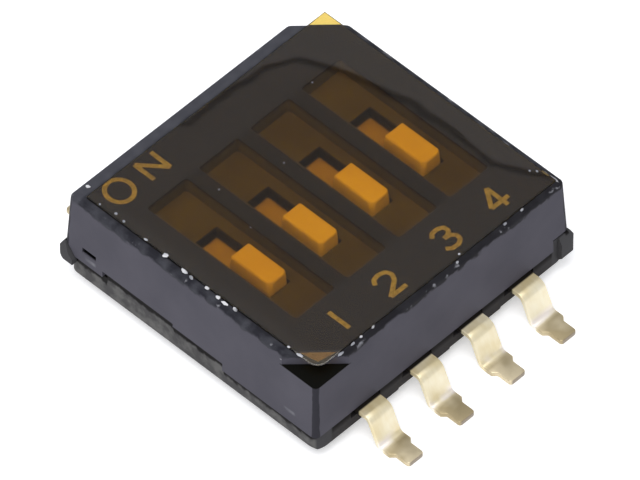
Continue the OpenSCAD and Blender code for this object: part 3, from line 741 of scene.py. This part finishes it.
specks = [  # x, y, mm below the top, length along y, width: loose dust and rubbed spots
    (-3.08, -0.90, 0.25, 0.05, 0.03), (-3.09, -2.14, 0.17, 0.05, 0.03), (-3.12, -1.47, 1.50, 0.06, 0.03),
    (2.99, -1.65, 0.0, 0.14, 0.03), (2.98, -2.30, 0.0, 0.20, 0.03), (2.97, -2.62, -0.01, 0.16, 0.05),
    (2.99, -2.80, 0.0, 0.22, 0.05), (2.88, -2.50, -0.05, 0.05, 0.04), (2.80, -2.40, -0.05, 0.04, 0.03),
    (1.64, 1.70, -0.05, 0.03, 0.03), (-1.23, 1.15, -0.05, 0.03, 0.04), (-1.47, 0.16, -0.05, 0.03, 0.02),
    (-0.02, 0.77, -0.05, 0.02, 0.03)]


def fleckRow(x, y, long, wide, turn):  # beside the film it lies on the cover, and else on the film
    beside = x < filmLow.x - 0.01 or y < filmLow.y - 0.01 or y > filmHigh.y + 0.01
    rise, tall = fleckLook["beside"] if beside else fleckLook["onFilm"]
    ground = topZ if beside else filmHigh.z
    return x, y, ground + rise, long * fleckLook["size"], wide * fleckLook["size"], tall, turn


def speckRow(x, y, down, long, wide):
    return x, y, topZ - down, long, wide, fleckLook["speckTall"], 0


def makeFlecks(rows, name, material):
    deselectAll()
    bpy.ops.mesh.primitive_ico_sphere_add(subdivisions=2, radius=0.5)
    grains = [bpy.context.object]
    while len(grains) < len(rows):
        grains.append(duplicateOf(grains[0]))
    for i, (grain, (x, y, z, long, wide, tall, turn)) in enumerate(zip(grains, rows)):
        makeActive(grain)
        bpy.ops.object.mode_set(mode="EDIT")
        bpy.ops.mesh.select_all(action="SELECT")
        bpy.ops.transform.vertex_random(offset=fleckLook["uneven"], seed=i)  # each one is made uneven its own way
        bpy.ops.object.mode_set(mode="OBJECT")
        grain.scale = (wide * mm, long * mm, tall * mm)
        grain.rotation_euler = (0, 0, math.radians(turn))
        grain.location = (x * mm, y * mm, z * mm)
        bakePlace(grain)
    dress(joinParts(grains, name), material, "housing")


makeFlecks([fleckRow(*chip) for chip in flecks], "edgeFlecks", fleckWhite)
makeFlecks([speckRow(*speck) for speck in specks], "dustSpecks", dustGrey)
print("glue and chips added")

studio = {
    "floor": (0.86, 0.86, 0.87, 1), "floorSize": 0.6, "floorRough": 0.8, "floorGlow": 0.45,
    "sky": (0.94, 0.955, 1.0, 1), "skyStrength": 0.57,
    "flag": (0.004, 0.004, 0.004, 1), "flagWay": (0.466, 0.451, 0.761), "flagAway": 0.16, "flagSize": 0.07,
    "lamps": [("softTop", (-0.04, -0.02, 0.14), 0.09, 0.12), ("softLeft", (-0.12, -0.03, 0.08), 0.08, 0.03)],
}


def makeFloor():
    deselectAll()
    bpy.ops.mesh.primitive_plane_add(size=studio["floorSize"], location=(0, 0, 0))
    floor = bpy.context.object
    floor.name = "paleFloor"
    mat, tree, shader = newMaterial("floorWhite")
    setPlain(shader, color=studio["floor"], rough=studio["floorRough"], glow=(1, 1, 1, 1))
    path = addNode(tree, "ShaderNodeLightPath").outputs  # white to the eye and in reflections, no extra light
    seen = larger(tree, path["Is Camera Ray"], larger(tree, path["Is Glossy Ray"], path["Is Transmission Ray"]))
    tree.links.new(times(tree, seen, studio["floorGlow"]), shader.inputs["Emission Strength"])
    floor.data.materials.append(mat)


def makeFlag():  # black card where the flat film mirrors the room, as in the photograph
    deselectAll()
    way = Vector(studio["flagWay"])
    bpy.ops.mesh.primitive_plane_add(size=studio["flagSize"], location=way * studio["flagAway"],
                                     rotation=way.to_track_quat("Z", "Y").to_euler())
    flag = bpy.context.object
    flag.name = "blackFlag"
    mat, tree, shader = newMaterial("flagBlack")
    setPlain(shader, color=studio["flag"], rough=1.0, specular=0.0)
    flag.data.materials.append(mat)


def makeSky():
    world = bpy.data.worlds.new("studioSky")
    bpy.context.scene.world = world
    world.use_nodes = True
    sky = world.node_tree.nodes["Background"]
    sky.inputs["Color"].default_value = studio["sky"]
    sky.inputs["Strength"].default_value = studio["skyStrength"]


def makeLamp(name, place, size, power):
    lamp = bpy.data.lights.new(name, "AREA")
    lamp.shape = "SQUARE"
    lamp.size = size
    lamp.energy = power
    obj = bpy.data.objects.new(name, lamp)
    bpy.context.scene.collection.objects.link(obj)
    obj.location = place
    obj.rotation_euler = (-Vector(place)).to_track_quat("-Z", "Y").to_euler()


makeFloor()
makeFlag()
makeSky()
for lamp in studio["lamps"]:
    makeLamp(*lamp)

cameraLook = {"azimuth": -45.90, "elevation": 49.58, "distance": 0.250, "lens": 813.0, "sensor": 36,
              "aim": (0.055, -0.157, 1.05)}  # the aim in mm: aside, above and up from the middle of the foot


def makeCamera():
    az, el = math.radians(cameraLook["azimuth"]), math.radians(cameraLook["elevation"])
    back = Vector((math.sin(az) * math.cos(el), -math.cos(az) * math.cos(el), math.sin(el)))
    right = Vector((math.cos(az), math.sin(az), 0))
    up = back.cross(right)
    aside, above, height = cameraLook["aim"]
    aim = Vector((0, 0, height * mm)) + (right * aside + up * above) * mm
    data = bpy.data.cameras.new("photoCamera")
    data.lens = cameraLook["lens"]
    data.sensor_width = cameraLook["sensor"]
    camera = bpy.data.objects.new("photoCamera", data)
    bpy.context.scene.collection.objects.link(camera)
    camera.location = aim + back * cameraLook["distance"]
    camera.rotation_euler = (-back).to_track_quat("-Z", "Y").to_euler()
    bpy.context.scene.camera = camera


makeCamera()
bpy.context.scene.view_settings.view_transform = "Standard"
print("studio set")

bpy.context.view_layer.update()
